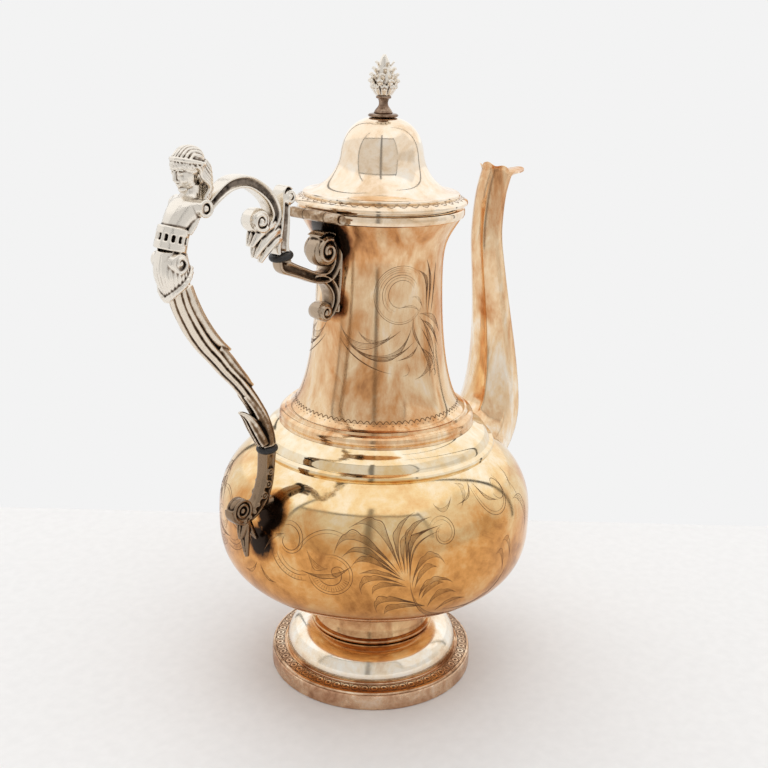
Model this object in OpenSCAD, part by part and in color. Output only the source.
// Coffee pot on a spun foot, with a hinged lid, a swan-neck spout and a cast figural handle.
// Millimetres, +Z up, origin on the table under the middle of the foot. Spout to +X, handle to -X.

/* [Sheet and joints] */
// Thickness of the spun sheet that the body, foot and lid are made of
sheet = 1; // [0.8:0.1:1.4]
// Solder line between pieces that are fixed to each other
seam = 0.04; // [0.02:0.01:0.06]
// Radial clearance of pins and pegs in their bores
fit = 0.05; // [0.03:0.01:0.08]

/* [Foot] */
// Radius of the foot on the table
foot_r = 45; // [42:0.5:49]
// Height of the upright band round the foot
foot_band_h = 7; // [5:0.5:9]
// Thickness of the upright band
foot_band_t = 2; // [1.5:0.1:3]
// Radius at the root of the foot dome, inside the chased border
dome_r = 38.2; // [36:0.1:40]
// Height of the root of the dome above the top of the band
dome_rise = 2.6; // [2:0.1:4]
// Height of the dome itself
dome_h = 11.2; // [9:0.1:13]
// Radius of the ledge on top of the dome, where the stem stands
ledge_r = 27.3; // [25:0.1:29]
// Radius of the stem at its waist
stem_waist_r = 23.9; // [22:0.1:25]

/* [Bowl] */
// Radius of the bowl at its widest
bowl_r = 67.5; // [64:0.5:72]
// Height of the widest place above the table
bowl_mid_z = 75; // [73:0.5:79]
// Depth of the bowl below its widest place
bowl_low_h = 35; // [33:0.5:37]
// Height of the upper half of the bowl, were it whole
bowl_up_h = 41.5; // [39:0.5:45]
// Height of the bowl's mouth above its widest place
bowl_cut_h = 31.5; // [29:0.5:34]
// Squareness of the bowl's upper half, where 2 is an ellipse
bowl_up_square = 2.4; // [2:0.1:2.8]
// Squareness of the bowl's lower half
bowl_square = 3; // [2.4:0.1:3.4]

/* [Shoulder and neck] */
// Height of the hollow moulding between the bowl and the neck ring
shoulder_h = 10; // [8:0.1:12]
// Height of the ring round the foot of the neck
neck_ring_h = 6; // [4.6:0.1:8]
// Outer radius of the neck where it leaves the ring
neck_base_r = 37.6; // [36:0.1:39]
// Outer radius of the neck at its waist
neck_waist_r = 26; // [24.5:0.1:27.5]
// Height from the foot of the neck up to its waist
neck_waist_h = 58.5; // [54:0.5:63]
// Height from the waist up to the mouth band
neck_flare_h = 22; // [19:0.5:25]
// Outer radius of the flared top of the neck
neck_top_r = 32.8; // [31:0.1:33.4]

/* [Mouth] */
// Outer radius of the band round the mouth
mouth_r = 34; // [33.6:0.1:35]
// Height of the band round the mouth
mouth_h = 3.8; // [3.4:0.1:5]
// Thickness of the band round the mouth
mouth_t = 2.6; // [2.4:0.1:3]

/* [Lid] */
// Outer radius of the lid's border
lid_r = 35; // [34.4:0.1:36]
// Gap between the mouth band and the closed lid's border
lid_gap = 1.4; // [1.3:0.1:2]
// Thickness of the border at its edge
lid_edge_t = 1.6; // [1.4:0.1:2.4]
// Radius of the step inside the chased border
lid_step_r = 31; // [30:0.1:31.6]
// Rise of the chased border from its edge to the step
lid_border_rise = 2.6; // [2.2:0.1:3.4]
// Radius of the lid's bell
bell_r = 16.7; // [15:0.1:18.5]
// Height of the bell's hip above the step
bell_hip_h = 14.6; // [12:0.1:17]
// Height from the hip to the top of the bell
bell_top_h = 14.4; // [12:0.1:17]
// How far the lid's sleeve reaches down inside the mouth
sleeve_depth = 4.6; // [3:0.1:5.4]
// Running clearance between the sleeve and the mouth band
sleeve_gap = 0.6; // [0.4:0.1:1]

/* [Finial] */
// Radius of the washer under the finial
washer_r = 6; // [5:0.1:7]
// Thickness of the washer
washer_t = 1.3; // [1:0.1:2]
// Height of the turned stem of the finial
finial_stem_h = 6.6; // [6:0.1:8]
// Radius of the stem at its narrowest
finial_stem_r = 2.4; // [2.2:0.1:2.8]
// Height of the bud
bud_h = 16.3; // [14:0.1:19]
// Radius of the bud's core
bud_r = 5; // [4.4:0.1:5.6]
// Leaves round each row of the bud
leaf_count = 8; // [6:1:9]
// Radius of the threaded stud that holds the finial
stud_r = 1.5; // [1.2:0.1:1.8]

/* [Hinge] */
// Outer radius of the hinge's knuckles
knuckle_r = 2.1; // [1.8:0.1:2.4]
// Radius of the hinge pin
hinge_pin_r = 0.95; // [0.8:0.05:1.1]
// Length of the lid's knuckle
lid_knuckle_len = 11; // [9:0.5:13]
// Length of each of the pot's two knuckles
pot_knuckle_len = 7.4; // [6:0.2:9]
// End play between knuckles
knuckle_play = 0.3; // [0.2:0.05:0.4]
// Gap between the knuckles and the mouth band
knuckle_gap = 0.3; // [0.2:0.05:0.4]
// Thickness of the hinge's leaves
hinge_leaf_t = 1; // [0.8:0.1:1.1]
// Radius of the ball on each end of the pin
pin_ball_r = 1.5; // [1.3:0.1:1.8]
// How far the pin stands out at its far end
pin_tail = 1.6; // [1.4:0.1:3]

/* [Spout] */
// Reach of the spout's outermost bend from the pot's axis
spout_reach = 82; // [79:0.1:85]
// Height of the spout's rim above the mouth of the pot
spout_top_rise = 6.7; // [4:0.1:9]
// Radius of the spout at its root
spout_root_r = 18.5; // [17:0.5:19.5]
// Radius of the spout near its rim
spout_tip_r = 7; // [6.4:0.1:7.8]
// Thickness of the spout's wall
spout_t = 1.1; // [0.9:0.1:1.5]
// Length of the pouring beak past the rim
beak_len = 8; // [6:0.5:10]
// How far the lip flares out all round
lip_flare = 1.6; // [1.2:0.1:2]
// Height of the lip at its back
lip_back_h = 2.4; // [2:0.1:3]
// Height that the beak climbs above the back of the lip
beak_rise = 5.6; // [4:0.1:6.4]
// Radius of the strainer's holes
strain_r = 1.6; // [1.2:0.1:2]
// Spacing of the strainer's holes
strain_pitch = 5.2; // [4.6:0.1:5.6]

/* [Handle joints] */
// Reach of the upper insulator's middle from the neck's waist
upper_reach = 28.6; // [27:0.1:30]
// Drop of the upper insulator below the mouth
upper_drop = 14.1; // [13:0.1:15.5]
// Lean of the upper joint away from the pot
upper_lean = 12; // [8:1:16]
// Inset of the lower insulator from the bowl's widest place
lower_inset = 5.1; // [4.4:0.1:5.8]
// Height of the lower insulator above the bowl's mouth
lower_rise = 11.8; // [11:0.1:13]
// Lean of the lower joint away from the pot
lower_lean = 5; // [0:1:9]
// Radius of the upper insulator
upper_ring_r = 4.7; // [4.3:0.1:5.2]
// Radius of the lower insulator
lower_ring_r = 4.3; // [4:0.1:4.8]
// Thickness of each insulator between the metal faces
ring_t = 2.6; // [2:0.1:3]
// Radius of the insulators' pegs
peg_r = 1.6; // [1.4:0.1:1.8]
// Length of each peg
peg_len = 2.6; // [2.4:0.1:3.2]
// Radius of the rivets through the pegs
rivet_r = 0.5; // [0.4:0.05:0.6]
// Radius of the sockets' mouths
socket_r = 3.1; // [2.9:0.1:3.5]
// Radius of the upper socket's large volute, which sets the size of its drawing
upper_volute_r = 6.7; // [6.4:0.1:7]
// Radius of the lower socket's volute, which sets the size of its drawing
lower_volute_r = 5; // [4.8:0.1:5.2]

/* [Handle] */
// Reach of the figure's waist from the pot's axis
figure_reach = 104.2; // [102:0.1:107]
// Height of the figure's waist below the mouth of the pot
figure_drop = 4.7; // [3.5:0.1:6]
// Height of the figure from the waist to the top of the head
figure_h = 33.4; // [31:0.1:36]
// Half thickness of the handle's lower stem
tail_r = 3.8; // [3.4:0.1:4.2]
// Half width of the scroll over the hand
scroll_w = 4.3; // [3.6:0.1:4.9]
// Half thickness of the scroll over the hand
scroll_t = 2.4; // [2:0.1:2.8]
// Radius of the volute over the hand, which sets the size of the scroll's drawing
scroll_volute_r = 4.7; // [4.5:0.1:4.9]

/* [Hidden] */

$fn = 96;
steps = 12;          // points along each curved stretch of an outline
edge = 0.4;          // small bevel on turned edges

// Heights, from the table up
flange_z = foot_band_h + seam;
dome_z = foot_band_h + dome_rise;
ledge_z = dome_z + dome_h;
stem_z = ledge_z + seam;
bowl_floor_z = bowl_mid_z - bowl_low_h;
shoulder_z = bowl_mid_z + bowl_cut_h;
bowl_top_r = bowl_r * pow(1 - pow(bowl_cut_h / bowl_up_h, bowl_up_square), 1 / bowl_up_square);
neck_ring_z = shoulder_z + shoulder_h;
neck_z = neck_ring_z + neck_ring_h;
neck_waist_z = neck_z + neck_waist_h;
neck_top_z = neck_waist_z + neck_flare_h;
mouth_z = neck_top_z + mouth_h;
lid_z = mouth_z + lid_gap;
lid_step_z = lid_z + lid_edge_t + lid_border_rise;
bell_hip_z = lid_step_z + bell_hip_h;
bell_top_z = bell_hip_z + bell_top_h;
washer_z = bell_top_z + seam;
finial_z = washer_z + washer_t + seam;
bud_z = finial_z + finial_stem_h + seam;

// Radii that follow from their neighbours
ring_r = neck_base_r + 3.4;
sleeve_r = mouth_r - mouth_t - sleeve_gap;
stem_foot_r = ledge_r - 1;

// Hinge
hinge_x = -(mouth_r + knuckle_r + knuckle_gap);
hinge_z = mouth_z - knuckle_r * 0.4;
hinge_bore_r = hinge_pin_r + fit;
pot_knuckle_y = lid_knuckle_len / 2 + knuckle_play;
hinge_half = pot_knuckle_y + pot_knuckle_len;

// Joints of the handle
upper_x = -(neck_waist_r + upper_reach);
upper_z = mouth_z - upper_drop;
lower_x = -(bowl_r - lower_inset);
lower_z = shoulder_z + lower_rise;
bore_r = peg_r + fit;
bore_len = peg_len + 0.3;
rivet_at = peg_len * 0.55;
waist_x = -figure_reach;
waist_z = mouth_z - figure_drop;

silver = "#c9b48a";
dark_silver = "#8f8576";
cast = "#bdb6a8";
bone = "#2a2624";

// ---------------------------------------------------------------- outlines

// A point on a quarter superellipse: r across, h up, n the squareness, a from 0 to 90
function arch(r, h, n, a) = [r * pow(cos(a), 2 / n), h * pow(sin(a), 2 / n)];

// A cubic Bezier curve through p[0] and p[3], as a list of points
function bezier(p, n = steps) = [for (i = [0:n]) let (t = i / n, s = 1 - t)
    s * s * s * p[0] + 3 * s * s * t * p[1] + 3 * s * t * t * p[2] + t * t * t * p[3]];

// The list without its first member
function rest(p) = [for (i = [1:len(p) - 1]) p[i]];

function reversed(p) = [for (i = [len(p) - 1:-1:0]) p[i]];

// Direction of a path of points at its member i
function heading(p, i) = let (a = p[max(i - 1, 0)], b = p[min(i + 1, len(p) - 1)],
    d = [b[0] - a[0], b[1] - a[1]]) d / norm(d);

// The path moved by t to the left of its direction
function beside(p, t) = [for (i = [0:len(p) - 1]) let (d = heading(p, i))
    [p[i][0] - d[1] * t, p[i][1] + d[0] * t]];

// A smooth line through rows of any width, n steps from each row to the next
function smooth(p, n = 3) = concat([for (i = [0:len(p) - 2]) for (k = [0:n - 1])
    let (t = k / n, a = p[max(i - 1, 0)], b = p[i], c = p[i + 1], d = p[min(i + 2, len(p) - 1)])
    0.5 * (2 * b + (c - a) * t + (2 * a - 5 * b + 4 * c - d) * t * t + (3 * b - a - 3 * c + d) * t * t * t)],
    [p[len(p) - 1]]);

// ---------------------------------------------------------------- shared shapes

// The inside of a spun shell's outline, its ends level with the outline's own: the last one only if wished
function inside(outline, t, level_top) = let (q = beside(outline, t), n = len(q) - 1)
    [for (i = [0:n]) [q[i][0], i == 0 || (i == n && level_top) ? outline[i][1] : q[i][1]]];

// A spun shell: the outline runs upward, and the sheet lies inside it
module spun(outline, t = sheet, level_top = true) {
    rotate_extrude() polygon(concat(outline, reversed(inside(outline, t, level_top))));
}

// A turned ring between two radii and two heights, its outer corners bevelled
module turned_ring(r, inner, z, h) {
    rotate_extrude() polygon([[inner, z], [r - edge, z], [r, z + edge], [r, z + h - edge],
        [r - edge, z + h], [inner, z + h]]);
}

// Rows of [x, z, half thickness, half width] drawn at a size from the place p
function drawn(p, size, rows) = [for (r = rows)
    [p[0] + r[0] * size, p[1] + r[1] * size, r[2] * size, r[3] * size]];

// A body swept through rows of [x, z, half thickness, half width] in the plane of the handle
module swept(rows, sides = 14, lobes = 0, lobe = 0) {
    n = len(rows);
    points = [for (i = [0:n - 1]) let (d = heading(rows, i)) for (k = [0:sides - 1])
        let (a = 360 * k / sides, s = 1 + lobe * cos(lobes * a), u = rows[i][2] * s * cos(a),
            v = rows[i][3] * s * sin(a))
        [rows[i][0] - d[1] * u, v, rows[i][1] + d[0] * u]];
    sides_of = [for (i = [0:n - 2]) for (k = [0:sides - 1])
        let (a = i * sides + k, b = i * sides + (k + 1) % sides, c = a + sides, d = b + sides)
        each [[a, b, d], [a, d, c]]];
    bottom = [for (k = [sides - 1:-1:0]) k];
    top = [for (k = [0:sides - 1]) (n - 1) * sides + k];
    polyhedron(points, concat([bottom, top], sides_of));
}

// A scroll's end seen as a drum across the handle: radius r, half width w, with a button each side
module volute(x, z, r, w) {
    translate([x, 0, z]) rotate([90, 0, 0]) {
        rotate_extrude($fn = 48) polygon([[0, -w], [r * 0.62, -w], [r * 0.86, -w * 0.62], [r, -w * 0.2],
            [r, w * 0.2], [r * 0.86, w * 0.62], [r * 0.62, w], [0, w]]);
        cylinder(r = r * 0.3, h = 2 * w + 1.2, center = true, $fn = 24);
    }
}

// A volute given as [x, z, radius, half width], drawn at a size from the place p
module drawn_volute(p, size, v) {
    volute(p[0] + v[0] * size, p[1] + v[1] * size, v[2] * size, v[3] * size);
}

// Places its children at the upper or lower joint, +Z up along the handle's peg
module at_upper_joint() { translate([upper_x, 0, upper_z]) rotate([0, -upper_lean, 0]) children(); }
module at_lower_joint() { translate([lower_x, 0, lower_z]) rotate([0, -lower_lean, 0]) children(); }

// A point of the handle's plane given along and across a joint's own axis
function from_joint(x, z, lean, across, along) =
    [x + across * cos(lean) - along * sin(lean), z + across * sin(lean) + along * cos(lean)];
function upper_point(across, along) = from_joint(upper_x, upper_z, upper_lean, across, along);
function lower_point(across, along) = from_joint(lower_x, lower_z, lower_lean, across, along);

// ---------------------------------------------------------------- foot

module foot_band() {
    color(silver) turned_ring(foot_r, foot_r - foot_band_t, 0, foot_band_h);
}

// Spun foot: a chased border that lies on the band, then a full round dome up to a ledge
dome_swell = 0.55;   // how full the dome is, as a share of its width and height
dome_outline = concat(
    [[foot_r - edge, flange_z + sheet], [dome_r + 0.6, dome_z - 0.8], [dome_r, dome_z - 0.6]],
    bezier([[dome_r, dome_z], [dome_r, dome_z + dome_h * dome_swell],
        [ledge_r + (dome_r - ledge_r) * dome_swell, ledge_z - sheet * 0.2],
        [ledge_r, ledge_z - sheet * 0.2]]),
    [[stem_foot_r - 2.4, ledge_z]]);

module foot_dome() {
    color(silver) rotate_extrude() polygon(concat(dome_outline, reversed(beside(dome_outline, sheet)),
        [[foot_r - edge, flange_z]]));
}

// Waisted collar between the foot and the bowl
stem_outline = bezier([[stem_foot_r, stem_z], [stem_waist_r - 0.6, stem_z + 2.2],
    [stem_waist_r - 1, bowl_floor_z - 5], [stem_waist_r + 2.8, bowl_floor_z + 2]]);

module foot_stem() {
    color(silver) difference() {
        spun(stem_outline);
        bowl_solid(seam);
    }
}

// ---------------------------------------------------------------- body

function bowl_low(t, from) = [for (i = [0:steps * 1.5]) let (q = arch(bowl_r - t, bowl_low_h - t, bowl_square,
    from * (1 - i / (steps * 1.5)))) [q[0], bowl_mid_z - q[1]]];
function bowl_up(t) = let (last = asin(pow(bowl_cut_h / (bowl_up_h - t), bowl_up_square / 2)))
    [for (i = [1:steps]) let (q = arch(bowl_r - t, bowl_up_h - t, bowl_up_square, last * i / steps))
        [q[0], bowl_mid_z + q[1]]];

// The bowl as a full solid, grown by t, for cutting what fits against it
module bowl_solid(t) {
    rotate_extrude() polygon(concat(bowl_low(-t, 90), bowl_up(-t), [[0, shoulder_z]]));
}

// Where the spout meets the bowl
root_x = bowl_r * 0.9;
root_z = bowl_mid_z + bowl_cut_h * 0.47;

module strainer_holes() {
    for (row = [-2:2], col = [-2:2])
        let (shift = (row % 2 == 0) ? 0 : strain_pitch / 2)
            if (norm([row, col]) < 2.6)
                translate([root_x - 14, col * strain_pitch + shift, root_z + row * strain_pitch * 0.87])
                    rotate([0, 90, 0]) cylinder(r = strain_r, h = 30, $fn = 24);
}

module bowl() {
    color(silver) difference() {
        rotate_extrude() polygon(concat(bowl_low(0, 90), bowl_up(0), reversed(bowl_up(sheet)),
            reversed(bowl_low(sheet, 90))));
        strainer_holes();
    }
}

// Hollow moulding that steps the bowl in to the neck, with a bead round its foot
shoulder_outline = concat(
    [[bowl_top_r + 0.2, shoulder_z + seam], [bowl_top_r + 0.9, shoulder_z + 0.9],
        [bowl_top_r + 0.2, shoulder_z + 2], [bowl_top_r - 1.2, shoulder_z + 2.6]],
    rest(bezier([[bowl_top_r - 1.4, shoulder_z + 3], [bowl_top_r - 2.6, shoulder_z + shoulder_h * 0.8],
        [ring_r + 3.2, shoulder_z + shoulder_h * 0.72], [ring_r + 0.6, neck_ring_z - seam]])));

module shoulder() {
    color(silver) spun(shoulder_outline, sheet * 1.4);
}

// Half-round ring that covers the joint of the neck and the shoulder
neck_ring_outline = concat([[ring_r + 0.5, neck_ring_z]],
    bezier([[ring_r, neck_ring_z + 0.8], [ring_r + 1, neck_ring_z + 3.2], [ring_r - 0.4, neck_ring_z + 4.4],
        [neck_base_r + 1.4, neck_z - 1]], 6),
    [[neck_base_r + 0.8, neck_z - seam]]);

module neck_ring() {
    color(silver) spun(neck_ring_outline, sheet * 1.4);
}

neck_outline = concat(
    bezier([[neck_base_r, neck_z], [neck_base_r - 6.5, neck_z + 2],
        [neck_waist_r + 0.2, neck_waist_z - neck_waist_h * 0.55], [neck_waist_r, neck_waist_z]], steps * 1.5),
    rest(bezier([[neck_waist_r, neck_waist_z], [neck_waist_r, neck_waist_z + neck_flare_h * 0.55],
        [neck_waist_r + 2.2, neck_top_z - neck_flare_h * 0.35], [neck_top_r, neck_top_z - seam]])));

module neck() {
    color(silver) spun(neck_outline);
}

module mouth_band() {
    color(silver) turned_ring(mouth_r, mouth_r - mouth_t, neck_top_z, mouth_h);
}

// ---------------------------------------------------------------- lid

// Chased border: an edge band and a slope up to the bell's step
border_outline = [[lid_r - edge, lid_z], [lid_r, lid_z + edge], [lid_r, lid_z + lid_edge_t - edge],
    [lid_r - edge, lid_z + lid_edge_t], [lid_step_r + 0.5, lid_step_z - 1.2]];

module lid_border() {
    color(silver) rotate_extrude() polygon(concat(border_outline,
        [[lid_step_r - 0.4, lid_step_z - 1.2], [lid_step_r - 1.4, lid_step_z - 1.2 - sheet],
            [lid_r - 2.4, lid_z + sheet], [sleeve_r - sheet, lid_z + sheet], [sleeve_r - sheet, lid_z]]));
}

bell_outline = concat(
    [[lid_step_r + 0.5, lid_step_z - 1.2 + seam], [lid_step_r, lid_step_z]],
    rest(bezier([[lid_step_r, lid_step_z], [lid_step_r - 8.5, lid_step_z + 1.2],
        [bell_r + 0.9, bell_hip_z - 6.3], [bell_r, bell_hip_z]])),
    rest(bezier([[bell_r, bell_hip_z], [bell_r - 0.7, bell_hip_z + bell_top_h * 0.49],
        [bell_r - 4.4, bell_top_z - 0.8], [stud_r + 2, bell_top_z]])),
    [[stud_r + fit, bell_top_z]]);

module lid_bell() {
    color(silver) spun(bell_outline, sheet, false);
}

// Sleeve that locates the lid in the mouth
module lid_sleeve() {
    color(silver) turned_ring(sleeve_r, sleeve_r - sheet, lid_z - lid_gap - sleeve_depth,
        lid_gap + sleeve_depth - seam);
}

// ---------------------------------------------------------------- finial

module finial_washer() {
    color(silver) difference() {
        turned_ring(washer_r, 0, washer_z, washer_t);
        translate([0, 0, washer_z - 1]) cylinder(r = stud_r + fit, h = washer_t + 2, $fn = 32);
    }
}

nut_h = 2.6;

// Turned baluster with the threaded stud under it
module finial_stem() {
    color(silver) rotate_extrude($fn = 48) polygon(concat(
        [[0, bell_top_z - sheet - nut_h - 0.6], [stud_r, bell_top_z - sheet - nut_h - 0.6],
            [stud_r, finial_z]],
        bezier([[finial_stem_r + 1.4, finial_z], [finial_stem_r + 1, finial_z + finial_stem_h * 0.3],
            [finial_stem_r - 0.9, finial_z + finial_stem_h * 0.4], [finial_stem_r + 0.8, bud_z - seam]], 8),
        [[0, bud_z - seam]]));
}

module finial_nut() {
    color(dark_silver) difference() {
        translate([0, 0, bell_top_z - sheet - nut_h - seam]) cylinder(r = stud_r + 2, h = nut_h, $fn = 6);
        translate([0, 0, bell_top_z - sheet - nut_h - 1]) cylinder(r = stud_r + fit, h = nut_h + 2, $fn = 32);
    }
}

leaf_span = 0.34;    // length of a leaf as a share of the bud
leaf_step = 0.19;    // from one row of leaves to the next, as a share of the bud
leaf_curl = 2;       // how far a tip stands out at the bottom row

// Radius of the bud's core at a share u of its height: full below, drawn in to a point
function bud_core(u) = bud_r * (0.62 + 0.38 * sin(min(90, 300 * u))) * pow(1 - 0.93 * pow(u, 1.7), 0.8);

// One leaf that stands on the bud at a share u of its height and curls outward at its tip
module bud_leaf(u, turn) {
    base = bud_core(u) + 0.1;
    tip = bud_core(u + leaf_span) + leaf_curl * (1 - u);
    z = bud_z + bud_h * u;
    long = bud_h * leaf_span;
    wide = base * 2.6 / leaf_count + 0.7;
    rotate([0, 0, turn]) swept([[base, z, 0.4, wide * 0.6], [base + 0.8, z + long * 0.35, 0.8, wide],
        [(base + tip) / 2 + 1, z + long * 0.7, 0.7, wide * 0.8], [tip, z + long, 0.3, wide * 0.25]], 6);
}

// Bud cast in one piece: a turned core with four rows of leaves
module finial_bud() {
    color(dark_silver) {
        rotate_extrude($fn = 48) polygon(concat([[0, bud_z]],
            [for (i = [0:10]) [bud_core(i / 10), bud_z + bud_h * i / 10]],
            [[0, bud_z + bud_h]]));
        for (row = [0:3], k = [0:leaf_count - 1])
            bud_leaf(0.03 + row * leaf_step, 360 * (k + row / 2) / leaf_count);
    }
}

// ---------------------------------------------------------------- hinge

module knuckle(y, len) {
    translate([hinge_x, y, hinge_z]) rotate([-90, 0, 0]) cylinder(r = knuckle_r, h = len, $fn = 48);
}

module hinge_bore() {
    translate([hinge_x, 0, hinge_z]) rotate([90, 0, 0])
        cylinder(r = hinge_bore_r, h = 4 * hinge_half, center = true, $fn = 48);
}

module hinge_pot_leaf() {
    color(silver) difference() {
        union() for (side = [-1, 1]) {
            start = side > 0 ? pot_knuckle_y : -hinge_half;
            knuckle(start, pot_knuckle_len);
            translate([hinge_x, start, hinge_z - knuckle_r])
                cube([knuckle_r + knuckle_gap + 3, pot_knuckle_len, knuckle_r]);
        }
        translate([0, 0, neck_top_z - 1]) cylinder(r = mouth_r + seam, h = mouth_h + 2);
        translate([0, 0, neck_top_z - 4]) cylinder(r = neck_top_r + seam, h = 4);
        hinge_bore();
    }
}

module hinge_lid_leaf() {
    color(silver) difference() {
        union() {
            knuckle(-lid_knuckle_len / 2, lid_knuckle_len);
            translate([hinge_x, -lid_knuckle_len / 2, lid_z - hinge_leaf_t - seam])
                cube([mouth_r - sleeve_r + knuckle_r, lid_knuckle_len, hinge_leaf_t]);
        }
        translate([0, 0, mouth_z - 2]) cylinder(r = sleeve_r + seam, h = lid_gap + 3);
        hinge_bore();
    }
}

module hinge_pin() {
    color(dark_silver) translate([hinge_x, 0, hinge_z]) rotate([90, 0, 0]) {
        translate([0, 0, -hinge_half - pin_tail])
            cylinder(r = hinge_pin_r, h = 2 * hinge_half + pin_tail + 0.5, $fn = 48);
        translate([0, 0, -hinge_half - pin_tail]) sphere(r = pin_ball_r, $fn = 32);
        translate([0, 0, hinge_half + knuckle_play]) cylinder(r = pin_ball_r, h = 0.8, $fn = 32);
    }
}

// ---------------------------------------------------------------- spout

spout_top_z = mouth_z + spout_top_rise;
spout_rise = spout_top_z - root_z;
// Radius of the spout at a share of its way up: wide at the root and near even from half way
function spout_r(u) = spout_tip_r + (spout_root_r - spout_tip_r) * pow(1 - u, 2.3);
// Middle line: out of the bowl, round the belly, back to the waist and out to the rim
spout_line = smooth([
    [root_x - 7, root_z - 9, 0],
    [root_x + 2.6, root_z - 5.5, 0.03],
    [spout_reach - 7.5, root_z + 2.5, 0.09],
    [spout_reach - 1.8, root_z + spout_rise * 0.095, 0.15],
    [spout_reach, root_z + spout_rise * 0.19, 0.24],
    [spout_reach - 0.6, root_z + spout_rise * 0.32, 0.36],
    [spout_reach - 3.2, root_z + spout_rise * 0.47, 0.5],
    [spout_reach - 7.2, root_z + spout_rise * 0.64, 0.66],
    [spout_reach - 10, root_z + spout_rise * 0.77, 0.79],
    [spout_reach - 9.8, root_z + spout_rise * 0.86, 0.87],
    [spout_reach - 8.2, root_z + spout_rise * 0.94, 0.94],
    [spout_reach - 5.4, spout_top_z, 1]], 2);
spout_rows = [for (p = spout_line) [p[0], p[1], spout_r(p[2]), spout_r(p[2])]];

// The inside of the spout runs on past both ends, so that it cuts clean
function thinned(rows, t) = [for (r = rows) [r[0], r[1], r[2] - t, r[3] - t]];
function lengthened(rows, by) = let (n = len(rows) - 1, a = heading(rows, 0), b = heading(rows, n))
    concat([[rows[0][0] - a[0] * by, rows[0][1] - a[1] * by, rows[0][2], rows[0][3]]], rows,
    [[rows[n][0] + b[0] * by, rows[n][1] + b[1] * by, rows[n][2], rows[n][3]]]);

module spout() {
    color(silver) difference() {
        swept(spout_rows, 24, 8, 0.02);
        swept(lengthened(thinned(spout_rows, spout_t), 2), 24, 8, 0.02);
        bowl_solid(seam);
        translate([0, 0, shoulder_z]) cylinder(r = bowl_top_r + 1, h = shoulder_h * 0.4);
        translate([0, 0, shoulder_z + shoulder_h * 0.4 - seam])
            cylinder(r1 = bowl_top_r - 0.4, r2 = ring_r + 1, h = shoulder_h * 0.6);
    }
}

// Leafy lip: a flared collar on the spout's end, high at the back and drawn out to a beak in front
lip_sides = 32;
function lip_ring(flare, rise, t) =
    let (n = len(spout_rows) - 1, d = heading(spout_rows, n), c = spout_rows[n])
    [for (k = [0:lip_sides - 1]) let (a = 360 * k / lip_sides, front = pow(max(0, -cos(a)), 4),
        out = spout_tip_r - t + flare * lip_flare * (1 + 0.22 * cos(6 * a)) + flare * beak_len * front,
        up = rise * (lip_back_h + beak_rise * front), u = out * cos(a), v = out * sin(a) * (1 - 0.1 * flare))
        [c[0] - d[1] * u + d[0] * (up + seam), v, c[1] + d[0] * u + d[1] * (up + seam)]];

module spout_lip() {
    rings = [lip_ring(0, 0, 0), lip_ring(0.3, 0.5, 0), lip_ring(1, 1, 0), lip_ring(1, 1.12, 0.7),
        lip_ring(0.3, 0.6, spout_t), lip_ring(0, 0, spout_t)];
    n = len(rings);
    points = [for (r = rings) each r];
    faces = [for (i = [0:n - 1]) for (k = [0:lip_sides - 1])
        let (a = i * lip_sides + k, b = i * lip_sides + (k + 1) % lip_sides,
            c = (a + lip_sides) % (n * lip_sides), d = (b + lip_sides) % (n * lip_sides))
        each [[a, b, d], [a, d, c]]];
    color(silver) polyhedron(points, faces);
}

// ---------------------------------------------------------------- sockets and insulators

// Insulator: a disc between the metal faces with a peg each way
module insulator(r) {
    cylinder(r = r, h = ring_t, center = true, $fn = 48);
    cylinder(r = peg_r, h = ring_t + 2 * peg_len, center = true, $fn = 48);
}

// Hole for a peg, from the insulator's face: way is 1 up into the handle, -1 down into the socket
module peg_bore(way) {
    translate([0, 0, way * (ring_t / 2 + bore_len / 2)])
        cylinder(r = bore_r, h = bore_len + 2 * seam, center = true, $fn = 48);
}

module rivet_bore(way) {
    translate([0, 0, way * (ring_t / 2 + rivet_at)]) rotate([90, 0, 0])
        cylinder(r = rivet_r + fit, h = 4 * socket_r, center = true, $fn = 24);
}

// A turned ferrule that starts at the insulator's face and holds the peg
module ferrule(r, way) {
    mirror([0, 0, way > 0 ? 0 : 1]) translate([0, 0, ring_t / 2 + seam]) {
        cylinder(r = r, h = bore_len + 0.8, $fn = 48);
        cylinder(r1 = r + 0.5, r2 = r, h = 1.2, $fn = 48);
    }
}

module drilled_insulator(r) {
    difference() {
        insulator(r);
        rivet_bore(1);
        rivet_bore(-1);
    }
}

module upper_insulator() { color(bone) at_upper_joint() drilled_insulator(upper_ring_r); }
module lower_insulator() { color(bone) at_lower_joint() drilled_insulator(lower_ring_r); }

module rivets(r) {
    for (way = [-1, 1]) translate([0, 0, way * (ring_t / 2 + rivet_at)]) rotate([90, 0, 0])
        cylinder(r = rivet_r, h = 2 * r - 0.2, center = true, $fn = 24);
}

module upper_rivets() { color(dark_silver) at_upper_joint() rivets(socket_r); }
module lower_rivets() { color(dark_silver) at_lower_joint() rivets(socket_r); }

// The neck as a full solid, grown by t, for cutting what is soldered to it
module neck_solid(t) {
    rotate_extrude() polygon(concat([[0, neck_z]], beside(neck_outline, -t), [[0, neck_top_z]]));
}

wall_x = -neck_waist_r;
upper_size = upper_volute_r / 6.7;
upper_at = [upper_x, upper_z];
wall_at = [wall_x, upper_z];
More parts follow.
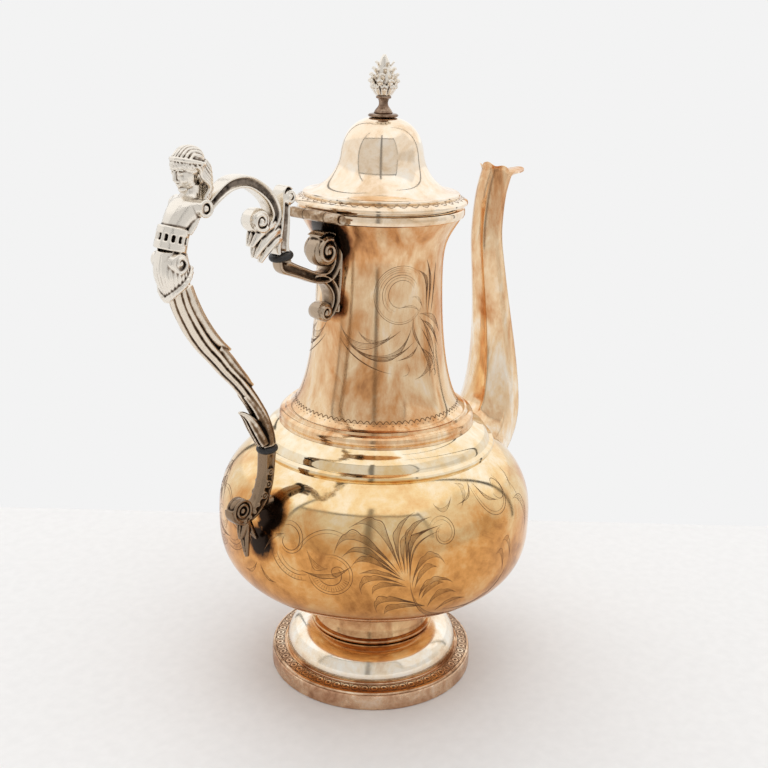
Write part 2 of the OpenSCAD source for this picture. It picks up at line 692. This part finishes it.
// Upper socket: from the insulator down and in to the neck, a large volute above, a small one below
upper_arm = smooth(concat(
    [concat(upper_point(0.4, -ring_t / 2 - bore_len + 0.4), [2.6, 3])],
    drawn(upper_at, upper_size, [[4.4, -4.4, 2.5, 3.1], [9.7, -7.4, 2.4, 3.3]]),
    drawn(wall_at, upper_size, [[-11.5, -10.3, 2.3, 3.6], [-5.4, -10.6, 2.3, 4.2], [-2.4, -6.6, 2.3, 4.8],
        [-2, -1, 2.2, 5]])), 3);
lower_arm = smooth(drawn(wall_at, upper_size, [[-9.4, -11, 2, 3.6], [-5, -13, 2.1, 4], [-2.5, -17, 2.1, 4.4],
    [-2.4, -21.6, 2, 4.2], [-5, -25.4, 1.8, 3.8]]), 3);

module upper_socket() {
    color(dark_silver) difference() {
        union() {
            at_upper_joint() ferrule(socket_r, -1);
            swept(upper_arm);
            swept(lower_arm);
            drawn_volute(wall_at, upper_size, [-7.6, -0.4, 6.7, 5.2]);
            drawn_volute(wall_at, upper_size, [-7.8, -24.4, 4, 4.4]);
        }
        at_upper_joint() { peg_bore(-1); rivet_bore(-1); }
        neck_solid(seam);
    }
}

// Lower socket: a tube down to a volute on the bowl, with a leaf below
lower_size = lower_volute_r / 5;
lower_at = [-bowl_r, shoulder_z];
lower_arm_rows = smooth(concat([concat(lower_point(0, -ring_t / 2 - bore_len + 0.4), [2.9, 3.1])],
    drawn(lower_at, lower_size, [[4.2, 1.6, 2.8, 3.1], [3.2, -3, 2.8, 3.2], [0.8, -8.4, 2.7, 3.2],
        [-3.8, -12.6, 2.4, 3], [-9.2, -14.2, 1.9, 2.8], [-13.4, -11.6, 1.6, 2.6]])), 3);
lower_leaf_rows = smooth(drawn(lower_at, lower_size, [[-6, -11, 1.4, 2.2], [-8.2, -17.4, 1.7, 3.4],
    [-7, -23.4, 1.5, 3.6], [-4.8, -30, 0.7, 1.1]]), 3);

module lower_socket() {
    color(dark_silver) difference() {
        union() {
            at_lower_joint() ferrule(socket_r, -1);
            swept(lower_arm_rows);
            swept(lower_leaf_rows, 10);
            drawn_volute(lower_at, lower_size, [-9.4, -9.4, 5, 2.7]);
            translate([-bowl_r - 1, 0, shoulder_z - 11 * lower_size]) rotate([0, 90, 0])
                cylinder(r = 2.6 * lower_size, h = 8, $fn = 32);
        }
        at_lower_joint() { peg_bore(-1); rivet_bore(-1); }
        bowl_solid(seam);
    }
}

// ---------------------------------------------------------------- handle

// Upper casting: the arch from behind the head over the hand, its volute, the thumb rest and a leaf
scroll_size = scroll_volute_r / 4.7;
waist_at = [waist_x, waist_z];
arch_rows = smooth(concat(
    drawn(waist_at, scroll_size, [[15.4, 12.2, 1.8, 2.6], [19.5, 16, 2.1, 3.4],
        [24.6, 19.2, scroll_t, scroll_w],
        [31.3, 19.7, scroll_t, scroll_w], [37.4, 17.2, scroll_t, scroll_w]]),
    drawn(upper_at, scroll_size, [[-6.8, 22, scroll_t, scroll_w], [-4.1, 16.2, scroll_t, scroll_w],
        [-7.4, 11.8, 2, scroll_w - 0.2], [-11.4, 10.2, 1.8, scroll_w - 0.6]])), 3);
thumb_rows = smooth(concat([concat(upper_point(0, ring_t / 2 + bore_len - 0.4), [2.8, 3])],
    drawn(upper_at, scroll_size, [[0.4, 9.4, 2.6, 3.4], [0.5, 15, 2.6, 3.8], [0.6, 20.4, 2.2, 3.9],
        [1.4, 24.4, 1.3, 3.6]])), 3);
leaf_rows = smooth(drawn(upper_at, scroll_size, [[-10.8, 11.4, 1.8, 3], [-14.2, 8.2, 2.1, 3.9],
    [-12.6, 3.6, 1.7, 3], [-10.8, -1, 0.7, 1]]), 3);

module handle_scroll() {
    color(cast) difference() {
        union() {
            at_upper_joint() ferrule(socket_r, 1);
            swept(arch_rows);
            swept(thumb_rows);
            swept(leaf_rows, 10);
            drawn_volute(upper_at, scroll_size, [-12.6, 14.6, 4.7, 4.5]);
            drawn_volute(upper_at, scroll_size, [1.6, 21.6, 3.2, 4.2]);
        }
        at_upper_joint() { peg_bore(1); rivet_bore(1); }
    }
}

// The figure: skirt, belt, torso with arm stubs, and the head with its hair
unit = figure_h / 38;    // the figure is drawn 38 units high
function figure_row(dx, dz, a, b) = [waist_x + dx * unit, waist_z + dz * unit, a * unit, b * unit];
torso_rows = smooth([
    figure_row(0, 0, 6, 6.4),
    figure_row(1.4, 3.4, 5.7, 6.2),
    figure_row(3.4, 7.4, 5.7, 7),
    figure_row(6.4, 12, 6, 8),
    figure_row(8.2, 15.6, 5, 7.2),
    figure_row(9.2, 18.2, 3.3, 4.1),
    figure_row(9.4, 22, 3, 3.2)], 3);
skirt_rows = smooth([
    figure_row(3, -22, 3.6, 4.2),
    figure_row(1.9, -19.4, 5.2, 5.8),
    figure_row(0.4, -14.5, 6, 6.7),
    figure_row(-0.4, -9.7, 6.6, 7.3),
    figure_row(-0.2, -3, 6.3, 6.7),
    figure_row(0, 0, 6, 6.4)], 3);
belt_rows = [figure_row(-0.4, -0.6, 6.7, 7.1), figure_row(0.2, 2, 6.7, 7.1), figure_row(1.8, 6, 6.4, 6.9)];
head_rows = smooth([
    figure_row(7, 20.2, 1.6, 1.8),
    figure_row(7.6, 22.2, 4, 4),
    figure_row(8.6, 25.8, 6.4, 5.4),
    figure_row(9.4, 29.8, 7.8, 6.4),
    figure_row(9.8, 33.6, 7.6, 6.4),
    figure_row(10, 36.4, 5, 4.4),
    figure_row(10, 38, 1.6, 1.4)], 3);
band_rows = [figure_row(9, 30.8, 8.6, 7), figure_row(9.3, 33.6, 8.6, 7)];
hair_rows = smooth([
    figure_row(17, 31, 2.4, 3.4),
    figure_row(18, 25.6, 2.8, 4),
    figure_row(17.2, 20.4, 2.6, 3.8),
    figure_row(15.6, 16, 1.6, 2.6)], 3);
nose_rows = [figure_row(1.7, 29.6, 0.6, 0.6), figure_row(0.9, 27, 1, 1.1), figure_row(1.8, 26, 0.8, 0.9)];

module handle_figure() {
    color(cast) difference() {
        union() {
            swept(torso_rows);
            swept(skirt_rows);
            swept(belt_rows, 20);
            swept(head_rows);
            swept(band_rows, 20);
            swept(hair_rows, 10);
            swept(nose_rows, 6);
            volute(waist_x - 1 * unit, waist_z - 5 * unit, 4 * unit, 7 * unit);
            translate([waist_x + 9.9 * unit, 0, waist_z + 14.8 * unit]) rotate([90, 0, 0])
                cylinder(r = 3.6 * unit, h = 19 * unit, center = true, $fn = 32);
        }
        swept(grown(arch_rows, seam));
        swept(grown(tail_rows, seam));
    }
}

function grown(rows, t) = thinned(rows, -t);

// Lower casting: the fluted stem from the skirt down to the lower insulator, with a curled leaf
tail_top_x = waist_x + 2.6;
tail_top_z = waist_z - 18.5;
tail_base = lower_point(0, ring_t / 2 + bore_len);
// A place on the stem: u along from the insulator to the skirt, off to the pot's side of the straight line
function tail_row(u, off, a) = [tail_base[0] + (tail_top_x - tail_base[0]) * u + off,
    tail_base[1] + (tail_top_z - tail_base[1]) * u, tail_r * a, tail_r * a];
tail_rows = smooth([
    tail_row(-0.01, 0.2, 0.78),
    tail_row(0.06, 1.5, 0.82),
    tail_row(0.16, 3.4, 0.84),
    tail_row(0.28, 3.5, 0.9),
    tail_row(0.42, 2.6, 0.98),
    tail_row(0.58, 0.2, 1.04),
    tail_row(0.72, -2, 1.1),
    tail_row(0.84, -2, 1.12),
    tail_row(0.95, -1, 1.14),
    tail_row(1.03, 0, 1.14)], 3);
curl_rows = smooth([
    concat(lower_point(-0.6, ring_t / 2 + bore_len + 1.6), [2.4, 2.8]),
    concat(lower_point(-3, ring_t / 2 + bore_len + 7.6), [1.9, 2.9]),
    concat(lower_point(-7, ring_t / 2 + bore_len + 11.6), [1.3, 2.2]),
    concat(lower_point(-11.2, ring_t / 2 + bore_len + 13), [0.5, 0.8])], 3);

module handle_tail() {
    color(cast) difference() {
        union() {
            at_lower_joint() ferrule(socket_r, 1);
            swept(tail_rows);
            swept(curl_rows, 10);
        }
        at_lower_joint() { peg_bore(1); rivet_bore(1); }
    }
}

foot_band();
foot_dome();
foot_stem();
bowl();
shoulder();
neck_ring();
neck();
mouth_band();
lid_border();
lid_bell();
lid_sleeve();
finial_washer();
finial_stem();
finial_bud();
finial_nut();
hinge_pot_leaf();
hinge_lid_leaf();
hinge_pin();
spout();
spout_lip();
upper_socket();
lower_socket();
upper_insulator();
lower_insulator();
upper_rivets();
lower_rivets();
handle_scroll();
handle_figure();
handle_tail();
